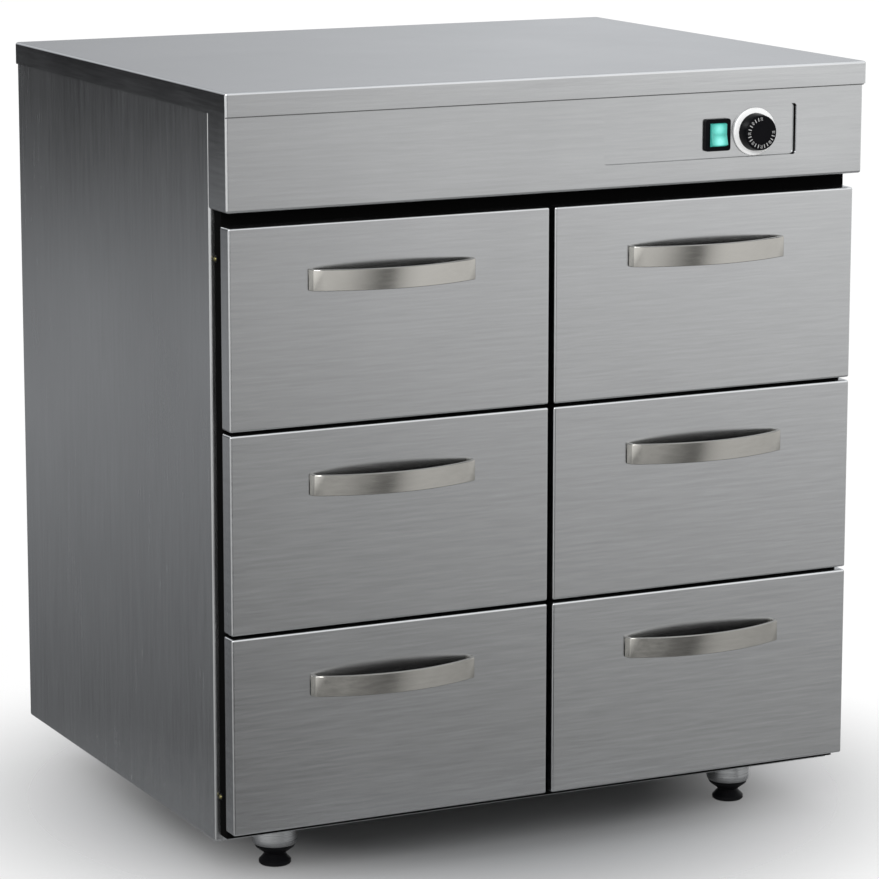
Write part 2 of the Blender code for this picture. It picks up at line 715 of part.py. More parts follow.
def build_dial():
    edge = DIAL_RING_EDGE
    ring = [
        (DIAL_RING_RADIUS - edge, DIAL_RING_DEPTH),
        (DIAL_RING_RADIUS, DIAL_RING_DEPTH - edge),
        (DIAL_RING_RADIUS, 0.0),
        (SHAFT_RADIUS + SHAFT_GAP, 0.0),
        (SHAFT_RADIUS + SHAFT_GAP, DIAL_RING_DEPTH),
    ]
    place = (dial_middle, control_seat, dial_height)
    turned("dial_ring", ring, place, WHITE_PLASTIC, "-Y", closed=True)
    face_edge = arc((KNOB_FACE_RADIUS - KNOB_EDGE, KNOB_DEPTH - KNOB_EDGE), KNOB_EDGE, QUARTER_TURN, 0.0,
                    ARC_STEPS)
    knob = [(0.0, KNOB_DEPTH)] + face_edge + [(KNOB_RADIUS, 0.0), (SHAFT_RADIUS + SHAFT_GAP, 0.0)]
    knob.extend([(SHAFT_RADIUS + SHAFT_GAP, KNOB_BORE_DEPTH), (0.0, KNOB_BORE_DEPTH)])
    turned("thermostat_knob", knob, (dial_middle, knob_seat, dial_height), BLACK_PLASTIC, "-Y")
    front = pocket_rear + FIT_GAP
    low = (dial_middle - THERMOSTAT_WIDTH / 2, front, dial_height - THERMOSTAT_HEIGHT / 2)
    high = (dial_middle + THERMOSTAT_WIDTH / 2, front + THERMOSTAT_DEPTH,
            dial_height + THERMOSTAT_HEIGHT / 2)
    thermostat = block("thermostat", low, high, BLACK_PLASTIC)
    shaft_tip = front - knob_seat + KNOB_BORE_DEPTH - FIT_GAP
    shaft = disc(SHAFT_RADIUS, -WELD_LAP, shaft_tip)
    join(thermostat, turned("thermostat_shaft", shaft, (dial_middle, front, dial_height), STEEL, "-Y"))


def build_drawer_box(name, middle, bottom):
    """An open tray with an inner front plate and a slide rail on each side."""
    box_bottom = bottom + DRAWER_BOX_RISE
    low = (middle - box_half, drawer_rear - WELD_LAP, box_bottom)
    high = (middle + box_half, drawer_rear + drawer_box_length, box_bottom + DRAWER_BOX_HEIGHT)
    box = folded(name, low, high, ("+Z",), DRAWER_SHEET, DRAWER_BEND_RADIUS, LINER_STEEL)
    inset = DRAWER_SHEET + FIT_GAP
    plate = rounded_rectangle(middle - drawer_half + inset, middle + drawer_half - inset,
                              bottom + inset, bottom + DRAWER_FRONT_HEIGHT - inset,
                              DRAWER_BEND_RADIUS - inset)
    join(box, prism(name + "_plate", [plate], "Y", drawer_rear - DRAWER_SHEET, drawer_rear, LINER_STEEL))
    rail_height = box_bottom + SLIDE_RISE
    for side in (-1, 1):
        face = middle + side * column_half
        section = channel_outline(face, -side, rail_height, SLIDE_SPACE + WELD_LAP, rail_tip, rail_reach)
        rail_name = "%s_rail_%d" % (name, side)
        join(box, prism(rail_name, [section], "Y", slide_front, slide_back, LINER_STEEL))
    return box


def build_handle(name, middle, top):
    """A bow handle: an arched strip on two short legs, flat above and below."""
    half = HANDLE_LENGTH / 2
    bow_half = half - HANDLE_END_SLANT
    bow = HANDLE_STANDOFF - HANDLE_END_DEPTH
    radius = (bow_half ** 2 + bow ** 2) / (2 * bow)
    inner_radius = radius - HANDLE_STRIP
    inner_half = half - HANDLE_LEG
    arc_centre = (middle, drawer_face - HANDLE_STANDOFF + radius)
    outer_angle = math.asin(bow_half / radius)
    inner_angle = math.asin(inner_half / inner_radius)
    seat = drawer_face - FIT_GAP
    outline = arc(arc_centre, radius, -QUARTER_TURN - outer_angle, -QUARTER_TURN + outer_angle,
                  HANDLE_ARC_STEPS)
    outline.extend([(middle + half, seat), (middle + inner_half, seat)])
    outline.extend(arc(arc_centre, inner_radius, -QUARTER_TURN + inner_angle, -QUARTER_TURN - inner_angle,
                       HANDLE_ARC_STEPS))
    outline.extend([(middle - inner_half, seat), (middle - half, seat)])
    handle = prism(name, [outline], "Z", top - HANDLE_HEIGHT, top, HANDLE_METAL, tidy_caps=True)
    add_bevel(handle, HANDLE_EDGE, 1)
    return handle


def build_drawer(row, column):
    name = "%s_%s" % (row, column)
    side = column_side(column)
    middle = side * column_middle
    bottom = row_bottom(row)
    top = bottom + DRAWER_FRONT_HEIGHT
    axis = joint_axis(name + "_drawer_axis", (middle, drawer_face, bottom))
    low = (middle - drawer_half, drawer_face, bottom)
    high = (middle + drawer_half, drawer_rear, top)
    front = folded(name + "_drawer_front", low, high, ("+Y",), DRAWER_SHEET, DRAWER_BEND_RADIUS, STEEL)
    carry(axis, front)
    carry(axis, build_handle(name + "_handle", middle, top - HANDLE_DROP))
    carry(axis, build_drawer_box(name + "_drawer_box", middle, bottom))
    slide_axis = joint_axis(name + "_slide_axis", (middle, slide_front, slide_height(row)))
    for place, face_side in (("outer", side), ("inner", -side)):
        face = middle + face_side * column_half
        section = channel_outline(face, -face_side, slide_height(row), SLIDE_GAP, SLIDE_LIP, middle_reach)
        slide_name = "%s_%s_slide" % (name, place)
        carry(slide_axis, prism(slide_name, [section], "Y", slide_front, slide_back, SLIDE_ZINC))


def foot_profile():
    """Turned foot from its stem down to the floor: collar, waist and flared pad."""
    collar_top = FOOT_COLLAR_RISE + FOOT_COLLAR_HEIGHT
    pad_top = FOOT_PAD_HEIGHT
    return [
        (0.0, collar_top + FOOT_STEM_LENGTH),
        (FOOT_STEM_RADIUS, collar_top + FOOT_STEM_LENGTH),
        (FOOT_STEM_RADIUS, collar_top),
        (FOOT_COLLAR_RADIUS, collar_top),
        (FOOT_COLLAR_RADIUS - FOOT_PAD_EDGE, FOOT_COLLAR_RISE),
        (FOOT_NECK_RADIUS, FOOT_NECK_RISE),
        (FOOT_PAD_RADIUS - FOOT_PAD_EDGE, pad_top),
        (FOOT_PAD_RADIUS, pad_top - FOOT_PAD_EDGE),
        (FOOT_PAD_RADIUS, FOOT_PAD_EDGE),
        (FOOT_PAD_RADIUS - FOOT_PAD_EDGE, 0.0),
        (0.0, 0.0),
    ]


def cup_profile():
    """Turned steel cup with a bore for the foot's stem and a rounded lower edge."""
    bore = FOOT_STEM_RADIUS + SHAFT_GAP
    profile = [(FOOT_CUP_RADIUS, cup_top)]
    for index in range(ARC_STEPS + 1):
        angle = QUARTER_TURN * index / ARC_STEPS
        radius = FOOT_CUP_RIM_RADIUS + (FOOT_CUP_RADIUS - FOOT_CUP_RIM_RADIUS) * math.cos(angle)
        profile.append((radius, cup_bottom + FOOT_CUP_TAPER * (1.0 - math.sin(angle))))
    profile.extend([(bore, cup_bottom), (bore, cup_top)])
    return profile


def build_feet():
    for end, along in (("front", foot_front), ("back", foot_back)):
        for side, across in (("left", -foot_across), ("right", foot_across)):
            place = (across, along, 0.0)
            turned("foot_cup_%s_%s" % (end, side), cup_profile(), place, STEEL, closed=True)
            turned("foot_%s_%s" % (end, side), foot_profile(), place, BLACK_STEEL)


def main():
    build_worktop()
    build_side_panels()
    build_base()
    build_cable_gland()
    build_back()
    build_front_frame()
    build_front_seal()
    build_chamber_ceiling()
    build_insulation()
    build_runner_panels()
    build_heating_element()
    build_fascia()
    build_switch()
    build_dial()
    for row in DRAWER_ROWS:
        for column in DRAWER_COLUMNS:
            build_drawer(row, column)
    build_feet()


main()
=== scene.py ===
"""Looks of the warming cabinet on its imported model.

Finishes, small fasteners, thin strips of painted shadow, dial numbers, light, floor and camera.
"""
import json
import math

import bmesh
import bpy
from mathutils import Matrix, Vector


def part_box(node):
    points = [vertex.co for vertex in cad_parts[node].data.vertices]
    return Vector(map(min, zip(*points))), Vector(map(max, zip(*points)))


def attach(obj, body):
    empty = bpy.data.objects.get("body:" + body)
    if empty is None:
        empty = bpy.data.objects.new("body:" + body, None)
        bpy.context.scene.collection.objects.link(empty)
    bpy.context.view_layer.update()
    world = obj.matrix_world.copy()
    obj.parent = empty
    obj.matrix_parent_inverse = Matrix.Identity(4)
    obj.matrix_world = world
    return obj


# Camera, fitted to the photo
IMAGE_SIZE = 879
FOCAL_PIXELS = 3845.18
CENTRE_PIXEL = (406.18, 418.37)
CAMERA_PLACE = Vector((-1.98519, -4.06647, 1.32986))
CAMERA_RIGHT = Vector((0.901653, -0.432459, -0.000743))
CAMERA_DOWN = Vector((-0.082607, -0.170545, -0.981881))
CAMERA_FORWARD = Vector((0.424497, 0.885378, -0.189496))
SENSOR_WIDTH = 36.0

# Surroundings in front: brightness by a direction's part along X (across, sky) or Z (fall)
FRONT_ACROSS = (
    (-1.00, 1.10), (-0.45, 1.15), (-0.12, 1.00), (0.08, 0.55), (0.22, 0.18), (0.31, 0.18),
    (0.38, 0.75), (0.47, 1.00), (0.56, 1.14), (0.75, 1.10), (1.00, 1.00),
)
FRONT_SKY = ((-1.00, 0.70), (-0.60, 1.00), (-0.20, 1.10), (0.55, 1.10), (0.85, 0.72))
FRONT_FALL_FAR = ((-0.33, 0.28), (-0.25, 0.53), (-0.20, 0.76), (-0.15, 1.02), (-0.12, 1.15))
FRONT_FALL_LEFT = ((-0.30, 0.05), (-0.25, 0.06), (-0.20, 0.18), (-0.15, 1.02), (-0.12, 1.15))
FRONT_FALL_RIGHT = (
    (-0.33, 0.17), (-0.25, 0.41), (-0.18, 0.67), (-0.13, 1.04), (-0.112, 1.11), (-0.09, 0.92),
)
FLOOR_LEVEL = (0.37, 0.373, 0.376)

# Surroundings behind: brightness by a direction's part along X (wall) or Z (left, horizon)
BACK_LEFT = (
    (-0.46, 0.37), (-0.40, 0.20), (-0.33, 0.08), (-0.29, 0.09), (-0.23, 0.21), (-0.175, 0.40),
    (-0.155, 0.40), (-0.12, 0.02), (0.02, 0.02), (0.18, 0.55), (0.30, 0.75),
)
BACK_WALL = ((0.30, 0.40), (0.40, 0.56), (0.46, 0.68), (1.00, 0.72))
BACK_HORIZON = ((-0.02, 1.03), (0.07, 0.0))
COOL = (0.975, 0.995, 1.030)
OVERHEAD = (0.90, 0.92, 0.95)

# Where one part of the surroundings turns into the next, along an axis of a direction
FAR_LEFT_X = (-0.84, -0.56)
RIGHT_X = (0.02, 0.36)
BEHIND_Y = (0.15, 0.60)
FLOOR_BELOW_Z = (-0.46, -0.33)
SKY_ABOVE_Z = (-0.01, 0.14)
OVERHEAD_Z = (0.20, 0.75)

# Lamps and floor
KEY_PLACE = Vector((2.6, -1.6, 2.9))
KEY_AIM = Vector((0.0, 0.0, 0.4))
KEY_SIZE = 5.2
KEY_POWER = 40.0
FILL_PLACE = Vector((-2.6, -3.7, 2.9))
FILL_AIM = Vector((0.0, 0.0, 0.5))
FILL_SIZE = 2.0
FILL_POWER = 130.0
FLOOR_RADIUS = 1.0
FLOOR_CORNERS = 96
FLOOR_RIM = (0.24, 0.76)
FLOOR_TONE = (0.29, 0.293, 0.296)
FLOOR_ROUGHNESS = 0.9
FLOOR_SHEEN = 0.1

# Colours of the finishes
STEEL = (0.520, 0.527, 0.532)
LINER = (0.450, 0.455, 0.460)
NICKEL = (0.500, 0.488, 0.455)
# Painted shade on the handles: near black on their inner side, a darker nickel on their upper rim
NICKEL_PAINTED_SHADE = (0.014, 0.012, 0.009)
NICKEL_RIM_PAINTED_SHADE = (0.250, 0.244, 0.228)
ZINC = (0.520, 0.530, 0.555)
BRASS = (0.150, 0.133, 0.060)
# A grey for thin strips of painted shadow, under the skirt and along the pocket's bottom
SHADOW_LINE_GREY = (0.190, 0.193, 0.193)
RUBBER_BLACK = (0.002, 0.002, 0.002)
PLASTIC_BLACK = (0.003, 0.003, 0.004)
COAT_BLACK = (0.006, 0.006, 0.007)
PLASTIC_WHITE = (0.92, 0.92, 0.915)
PRINT_WHITE = (0.42, 0.42, 0.415)
LENS = (0.030, 0.200, 0.170)
LENS_EDGE = (0.030, 0.260, 0.220)
LENS_GLOW = (0.100, 0.560, 0.480)
LENS_SPOT = (0.330, 0.960, 0.880)
STAIN_BROWN = (0.15, 0.13, 0.11)
STAIN_STRAW = (0.30, 0.26, 0.21)
STAIN_BLUE = (0.27, 0.28, 0.31)
STAIN_GREY = (0.38, 0.38, 0.38)
WOOL_DARK = (0.42, 0.36, 0.22)
WOOL_LIGHT = (0.78, 0.72, 0.52)

# Patterns of the finishes: ranges of a noise, then scales per metre, shares and depths of relief
SHADE_PLACES = (0.32, 0.68)
GLOSS_SPAN = (0.3, 0.7)
BRUSH_STREAKS = (12.0, 280.0)
UPRIGHT_STREAKS = (12.0, 250.0)
BRUSH_HAIRLINES = (40.0, 1500.0)
HAIRLINE_SHARE = 0.40
SMEAR_SCALE = 5.0
SMEAR_SHARE = 0.45
TURNED_RINGS = (25.0, 25.0, 1500.0)
METAL_GRIT_SCALE = 1800.0
HANDLING_SCALE = 35.0
FINE_GRIT_SCALE = 2600.0
RIPPLE_SCALE = 500.0
RIPPLE_SHARE = 0.12
STAIN_SCALE = 14.0
STAIN_GRIT_SCALE = 900.0
WOOL_FIBRES = (60.0, 60.0, 420.0)
WOOL_TUFT_SCALE = 300.0
WOOL_TUFT_SHARE = 0.5
FINE_RELIEF = 0.0003
GRIT_RELIEF = 0.0002
WOOL_RELIEF = 0.002

# Where a finish changes: by the surface's direction, and on a handle where painted shade lies on
# the upper rim and on the inner side, which fades out by height
ACROSS_BRUSHING = 0.7
RIM_SHADE_FACING = (0.25, 0.60)
BACK_SHADE_FACING = (0.35, 0.55)
SHADE_FADE_HEIGHT = (0.60, 0.85)

# Glow of the rocker
LENS_SPOT_RISE = 0.0068
LENS_SPOT_REACH = 0.0110
LENS_STRENGTH = 0.75
LENS_ROUGHNESS = 0.18

# Smooth shading
SMOOTH_ANGLE = math.radians(38.0)
WELD_DISTANCE = 1e-5
TURNED_WELD = 1e-6
FLAT_WEIGHT = 80

# Sockets of a Mix node: first, second and result
MIX_COLOURS = (6, 7, 2)
MIX_VECTORS = (4, 5, 1)

# Dial numbers, read against the top of the ring
DIAL_NUMBERS = (30, 40, 50, 60, 70, 80, 90)
DIAL_TICKS_BETWEEN = 2
DIAL_FIRST_ANGLE = math.radians(90.0)
DIAL_SWEEP = math.radians(270.0)
DIAL_NUMBER_RADIUS = 0.0157
DIAL_NUMBER_SIZE = 0.0042
DIAL_TICK = (0.0042, 0.0010)
PRINT_DEPTH = 0.00006
PRINT_BEVEL = PRINT_DEPTH / 4
PRINT_CURVE_STEPS = 3

# Small fasteners, and thin strips of painted shadow; heads are pairs of radius and height
TURNED_STEPS = 28
INSERT_LEVELS = (0.1081, 0.7115)
INSERT_FROM_FLANGE = 0.0044
INSERT_WASHER = (
    (0.0, 0.0010), (0.0036, 0.0010), (0.0042, 0.0005), (0.0042, -0.0010), (0.0, -0.0010),
)
INSERT_HEAD = (
    (0.0, 0.0036), (0.0011, 0.0034), (0.0020, 0.0027),
    (0.0026, 0.0017), (0.0027, 0.0008), (0.0, 0.0008),
)
BACK_SCREW_MARGIN = 0.013
BACK_SCREWS = (4, 5)
BACK_SCREW_STEPS = 20
BACK_SCREW_HEAD = (
    (0.0, 0.0008), (0.0013, 0.0008), (0.0014, 0.0022), (0.0030, 0.0020),
    (0.0041, 0.0012), (0.0045, 0.0), (0.0045, -0.0006), (0.0, -0.0006),
)
SHADOW_LINE_SIZE = 0.0017
SHADOW_LINE_STEPS = 5

# The control pocket as it is in the fascia, with strips of painted shadow on its right end and
# along its bottom
POCKET_FROM_RIGHT = 0.0885
POCKET_RISE = 0.0270
POCKET_HEIGHT = 0.0585
POCKET_WIDTH = 0.2500
POCKET_DEPTH = 0.0045
POCKET_CORNER = 0.004
# Thin strips of painted shadow on the pocket's walls
SHADOW_BEAD_THICKNESS = 0.0004
SHADOW_STRIP_THICKNESS = 0.0005
SHADOW_STRIP_DEPTH = 0.0016
SHADOW_STRIP_HOOK = 0.0015
SHADOW_STRIP_STEPS = 6

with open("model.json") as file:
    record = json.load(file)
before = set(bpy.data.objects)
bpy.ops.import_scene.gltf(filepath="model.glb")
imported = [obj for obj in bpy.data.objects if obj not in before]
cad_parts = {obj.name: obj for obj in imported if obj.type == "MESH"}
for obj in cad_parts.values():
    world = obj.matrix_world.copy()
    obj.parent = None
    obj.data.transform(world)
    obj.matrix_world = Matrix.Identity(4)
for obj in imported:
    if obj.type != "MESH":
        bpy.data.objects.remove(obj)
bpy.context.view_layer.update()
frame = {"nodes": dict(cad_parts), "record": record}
nodes = frame["nodes"]
scene = bpy.context.scene
slot_of = {part["node"]: part["material_slot"] for part in frame["record"]["subparts"]}


def new_material(name):
    material = bpy.data.materials.new(name)
    material.use_nodes = True
    return material, material.node_tree, material.node_tree.nodes["Principled BSDF"]


def add_node(tree, kind, **settings):
    node = tree.nodes.new("ShaderNode" + kind)
    for name, value in settings.items():
        setattr(node, name, value)
    return node


def own_place(tree):
    """The piece's own metres."""
    return add_node(tree, "TexCoord").outputs["Object"]


def noise(tree, scale, detail, place=None):
    """A noise over the piece's own metres, or over another place, with a scale for each axis."""
    if place is None:
        place = own_place(tree)
    stretch = add_node(tree, "Mapping")
    stretch.inputs["Scale"].default_value = scale
    cloud = add_node(tree, "TexNoise")
    cloud.inputs["Scale"].default_value = 1.0
    cloud.inputs["Detail"].default_value = detail
    tree.links.new(place, stretch.inputs["Vector"])
    tree.links.new(stretch.outputs["Vector"], cloud.inputs["Vector"])
    return cloud.outputs["Fac"]


def weigh(tree, first, second, share):
    """The weighted mean of two values."""
    mix = add_node(tree, "Mix", data_type="FLOAT")
    mix.inputs["Factor"].default_value = share
    tree.links.new(first, mix.inputs["A"])
    tree.links.new(second, mix.inputs["B"])
    return mix.outputs["Result"]


def spread(tree, value, start, end, low, high, smooth=False):
    """A value from start to end, mapped to low to high."""
    stretch = add_node(tree, "MapRange", interpolation_type="SMOOTHSTEP" if smooth else "LINEAR")
    ends = {"From Min": start, "From Max": end, "To Min": low, "To Max": high}
    for name, number in ends.items():
        stretch.inputs[name].default_value = number
    tree.links.new(value, stretch.inputs["Value"])
    return stretch.outputs["Result"]


def ramp(tree, value, stops):
    """Colours along a value; each stop is a place from 0 to 1 and its colour."""
    node = add_node(tree, "ValToRGB")
    elements = node.color_ramp.elements
    elements[0].position = stops[0][0]
    elements[1].position = stops[-1][0]
    for stop in stops[1:-1]:
        elements.new(stop[0])
    for element, stop in zip(elements, stops):
        element.color = (*stop[1], 1.0)
    tree.links.new(value, node.inputs["Fac"])
    return node.outputs["Color"]


def mix_colours(tree, blend, share, first, second):
    """Two colours, blended.

    The share is a number or a node's value, and the second colour is a fixed one or a node's.
    """
    first_socket, second_socket, result = MIX_COLOURS
    mix = add_node(tree, "Mix", data_type="RGBA", blend_type=blend)
    if isinstance(share, float):
        mix.inputs["Factor"].default_value = share
    else:
        tree.links.new(share, mix.inputs["Factor"])
    tree.links.new(first, mix.inputs[first_socket])
    if isinstance(second, tuple):
        mix.inputs[second_socket].default_value = (*second, 1.0)
    else:
        tree.links.new(second, mix.inputs[second_socket])
    return mix.outputs[result]


def add_bump(tree, shader, height, strength, distance):
    node = add_node(tree, "Bump")
    node.inputs["Strength"].default_value = strength
    node.inputs["Distance"].default_value = distance
    tree.links.new(height, node.inputs["Height"])
    tree.links.new(node.outputs["Normal"], shader.inputs["Normal"])


def shades(colour, contrast):
    """Ramp stops from a darker to a lighter tone of one colour."""
    dark = tuple(value * (1 - contrast) for value in colour)
    light = tuple(min(1.0, value * (1 + contrast)) for value in colour)
    return tuple(zip(SHADE_PLACES, (dark, light)))


def set_colour(tree, shader, value, stops):
    tree.links.new(ramp(tree, value, stops), shader.inputs["Base Color"])


def set_gloss(tree, shader, value, roughness, change):
    """A roughness that goes up and down by the change along a noise."""
    uneven = spread(tree, value, *GLOSS_SPAN, roughness - change, roughness + change)
    tree.links.new(uneven, shader.inputs["Roughness"])


def facing(tree, axis):
    """The part of the surface's direction along one axis of the piece."""
    parts = add_node(tree, "SeparateXYZ")
    tree.links.new(add_node(tree, "TexCoord").outputs["Normal"], parts.inputs["Vector"])
    return parts.outputs[axis]


def brushed_place(tree, axis):
    """The piece's own metres, with two axes swapped on the faces across the brushing.

    Those faces are brushed along Y.
    """
    place = own_place(tree)
    parts = add_node(tree, "SeparateXYZ")
    swapped = add_node(tree, "CombineXYZ")
    tree.links.new(place, parts.inputs["Vector"])
    for name in "XYZ":
        source = {axis: "Y", "Y": axis}.get(name, name)
        tree.links.new(parts.outputs[source], swapped.inputs[name])
    size = add_node(tree, "Math", operation="ABSOLUTE")
    tree.links.new(facing(tree, axis), size.inputs[0])
    across = add_node(tree, "Math", operation="GREATER_THAN")
    across.inputs[1].default_value = ACROSS_BRUSHING
    tree.links.new(size.outputs["Value"], across.inputs[0])
    first_socket, second_socket, result = MIX_VECTORS
    choice = add_node(tree, "Mix", data_type="VECTOR")
    tree.links.new(across.outputs["Value"], choice.inputs["Factor"])
    tree.links.new(place, choice.inputs[first_socket])
    tree.links.new(swapped.outputs["Vector"], choice.inputs[second_socket])
    return choice.outputs[result]


def along_axis(axis, scales):
    """Noise scales for the three axes: the first along one axis, the second across it."""
    return [scales[0] if letter == axis else scales[1] for letter in "XYZ"]


def brushed_metal(
    name, colour, axis, roughness, scales=BRUSH_STREAKS, contrast=0.08, stretch=0.20, relief=0.03
):
    """Sheet brushed along one axis.

    Streaks and hairlines show in its tone and relief, with faint smears and a gloss that is
    stretched across the brushing.
    """
    material, tree, shader = new_material(name)
    place = brushed_place(tree, axis)
    streaks = noise(tree, along_axis(axis, scales), detail=3.0, place=place)
    hairlines = noise(tree, along_axis(axis, BRUSH_HAIRLINES), detail=2.0, place=place)
    smears = noise(tree, (SMEAR_SCALE,) * 3, detail=3.0)
    grain = weigh(tree, streaks, hairlines, HAIRLINE_SHARE)
    set_colour(tree, shader, grain, shades(colour, contrast))
    set_gloss(tree, shader, weigh(tree, grain, smears, SMEAR_SHARE), roughness, change=0.05)
    shader.inputs["Metallic"].default_value = 1.0
    shader.inputs["Anisotropic"].default_value = stretch
    across = add_node(tree, "Tangent", direction_type="RADIAL", axis=axis)
    tree.links.new(across.outputs["Tangent"], shader.inputs["Tangent"])
    add_bump(tree, shader, grain, relief, FINE_RELIEF)
    return material


def leave_back_dull(material):
    """Painted shade on a handle: its upper rim darker, and its inner side near black below that
    rim.
    """
    tree = material.node_tree
    base = tree.nodes["Principled BSDF"].inputs["Base Color"]
    # Painted shade: the rim facing up is darkened, the inner side facing back is painted near black
    rim_shade_mask = spread(tree, facing(tree, "Z"), *RIM_SHADE_FACING, 0.0, 1.0)
    rim_shaded_colour = mix_colours(tree, "MIX", rim_shade_mask, base.links[0].from_socket, NICKEL_RIM_PAINTED_SHADE)
    parts = add_node(tree, "SeparateXYZ")
    tree.links.new(add_node(tree, "TexCoord").outputs["Generated"], parts.inputs["Vector"])
    back_shade_mask = add_node(tree, "Math", operation="MULTIPLY")
    tree.links.new(spread(tree, facing(tree, "Y"), *BACK_SHADE_FACING, 0.0, 1.0), back_shade_mask.inputs[0])
    tree.links.new(spread(tree, parts.outputs["Z"], *SHADE_FADE_HEIGHT, 1.0, 0.0), back_shade_mask.inputs[1])
    tree.links.new(mix_colours(tree, "MIX", back_shade_mask.outputs["Value"], rim_shaded_colour, NICKEL_PAINTED_SHADE), base)


def turned_metal(name, colour, roughness):
    """Metal with the fine rings of turning about an upright axis."""
    material, tree, shader = new_material(name)
    rings = noise(tree, TURNED_RINGS, detail=3.0)
    set_colour(tree, shader, rings, shades(colour, contrast=0.10))
    set_gloss(tree, shader, rings, roughness, change=0.05)
    shader.inputs["Metallic"].default_value = 1.0
    add_bump(tree, shader, rings, strength=0.08, distance=FINE_RELIEF)
    return material


def plain_metal(name, colour, roughness, cloud_scale, contrast):
    """Mill-finished or plated metal, with a soft cloudy tone."""
    material, tree, shader = new_material(name)
    clouds = noise(tree, (cloud_scale,) * 3, detail=5.0)
    grit = noise(tree, (METAL_GRIT_SCALE,) * 3, detail=2.0)
    set_colour(tree, shader, clouds, shades(colour, contrast))
    set_gloss(tree, shader, clouds, roughness, change=0.06)
    shader.inputs["Metallic"].default_value = 1.0
    add_bump(tree, shader, grit, strength=0.06, distance=GRIT_RELIEF)
    return material


def moulded(name, colour, roughness, grit_scale, relief, contrast=0.12, sheen=0.5):
    """Plastic, rubber or a powder coat: a fine grit, with uneven gloss from handling."""
    material, tree, shader = new_material(name)
    grit = noise(tree, (grit_scale,) * 3, detail=3.0)
    handling = noise(tree, (HANDLING_SCALE,) * 3, detail=3.0)
    set_colour(tree, shader, handling, shades(colour, contrast))
    set_gloss(tree, shader, handling, roughness, change=0.08)
    shader.inputs["Specular IOR Level"].default_value = sheen
    add_bump(tree, shader, grit, relief, FINE_RELIEF)
    return material


def lit_lens(name, middle):
    """A clear green rocker with a glow behind it, strongest at an upper and a lower spot."""
    material, tree, shader = new_material(name)
    place = own_place(tree)
    glow = add_node(tree, "Math", operation="MAXIMUM")
    for index, rise in enumerate((-LENS_SPOT_RISE, LENS_SPOT_RISE)):
        away = add_node(tree, "VectorMath", operation="DISTANCE")
        away.inputs[1].default_value = middle + Vector((0.0, 0.0, rise))
        tree.links.new(place, away.inputs[0])
        spot = spread(tree, away.outputs["Value"], 0.0, LENS_SPOT_REACH, 1.0, 0.0, smooth=True)
        tree.links.new(spot, glow.inputs[index])
    ripples = noise(tree, (RIPPLE_SCALE,) * 3, detail=2.0)
    stops = ((0.05, LENS_EDGE), (0.35, LENS_GLOW), (0.85, LENS_SPOT))
    tint = ramp(tree, weigh(tree, glow.outputs["Value"], ripples, RIPPLE_SHARE), stops)
    tree.links.new(tint, shader.inputs["Emission Color"])
    set_colour(tree, shader, ripples, shades(LENS, contrast=0.1))
    shader.inputs["Emission Strength"].default_value = LENS_STRENGTH
    shader.inputs["Roughness"].default_value = LENS_ROUGHNESS
    add_bump(tree, shader, ripples, strength=0.05, distance=FINE_RELIEF)
    return material


def heat_stained(name):
    """A tubular element: grey tube with brown and blue heat stains along its length."""
    material, tree, shader = new_material(name)
    stains = noise(tree, (STAIN_SCALE,) * 3, detail=4.0)
    grit = noise(tree, (STAIN_GRIT_SCALE,) * 3, detail=3.0)
    stops = ((0.30, STAIN_BROWN), (0.48, STAIN_STRAW), (0.60, STAIN_BLUE), (0.72, STAIN_GREY))
    set_colour(tree, shader, stains, stops)
    set_gloss(tree, shader, stains, roughness=0.51, change=0.09)
    shader.inputs["Metallic"].default_value = 1.0
    add_bump(tree, shader, grit, strength=0.15, distance=GRIT_RELIEF)
    return material


def fibrous(name):
    """Mineral wool: matted yellow-brown fibres in layers."""
    material, tree, shader = new_material(name)
    fibres = noise(tree, WOOL_FIBRES, detail=8.0)
    tufts = noise(tree, (WOOL_TUFT_SCALE,) * 3, detail=6.0)
    mat = weigh(tree, fibres, tufts, WOOL_TUFT_SHARE)
    set_colour(tree, shader, mat, ((0.3, WOOL_DARK), (0.7, WOOL_LIGHT)))
    set_gloss(tree, shader, mat, roughness=0.925, change=0.075)
    add_bump(tree, shader, mat, strength=0.8, distance=WOOL_RELIEF)
    return material


def smooth_group():
    """A modifier's nodes: weld the shared corners, and shade smooth up to an angle."""
    group = bpy.data.node_groups.new("smooth_bends", "GeometryNodeTree")
    group.interface.new_socket("Geometry", in_out="INPUT", socket_type="NodeSocketGeometry")
    group.interface.new_socket("Geometry", in_out="OUTPUT", socket_type="NodeSocketGeometry")
    source = group.nodes.new("NodeGroupInput")
    result = group.nodes.new("NodeGroupOutput")
    merge = group.nodes.new("GeometryNodeMergeByDistance")
    merge.inputs["Distance"].default_value = WELD_DISTANCE
    faces = group.nodes.new("GeometryNodeSetShadeSmooth")
    faces.domain = "FACE"
    faces.inputs["Shade Smooth"].default_value = True
    edges = group.nodes.new("GeometryNodeSetShadeSmooth")
    edges.domain = "EDGE"
    edges.inputs["Shade Smooth"].default_value = False
    angle = group.nodes.new("GeometryNodeInputMeshEdgeAngle")
    sharp = group.nodes.new("FunctionNodeCompare")
    sharp.operation = "GREATER_THAN"
    sharp.inputs["B"].default_value = SMOOTH_ANGLE
    links = group.links
    links.new(source.outputs["Geometry"], merge.inputs["Geometry"])
    links.new(merge.outputs["Geometry"], faces.inputs["Geometry"])
    links.new(faces.outputs["Geometry"], edges.inputs["Geometry"])
    links.new(angle.outputs["Unsigned Angle"], sharp.inputs["A"])
    links.new(sharp.outputs["Result"], edges.inputs["Selection"])
    links.new(edges.outputs["Geometry"], result.inputs["Geometry"])
    return group


def smooth_bends(piece, group):
    """Round shading over the sheet bends, with the flats kept flat."""
    weld = piece.modifiers.new("smooth_bends", "NODES")
    weld.node_group = group
    normals = piece.modifiers.new("weighted_normals", "WEIGHTED_NORMAL")
    normals.keep_sharp = True
    normals.weight = FLAT_WEIGHT


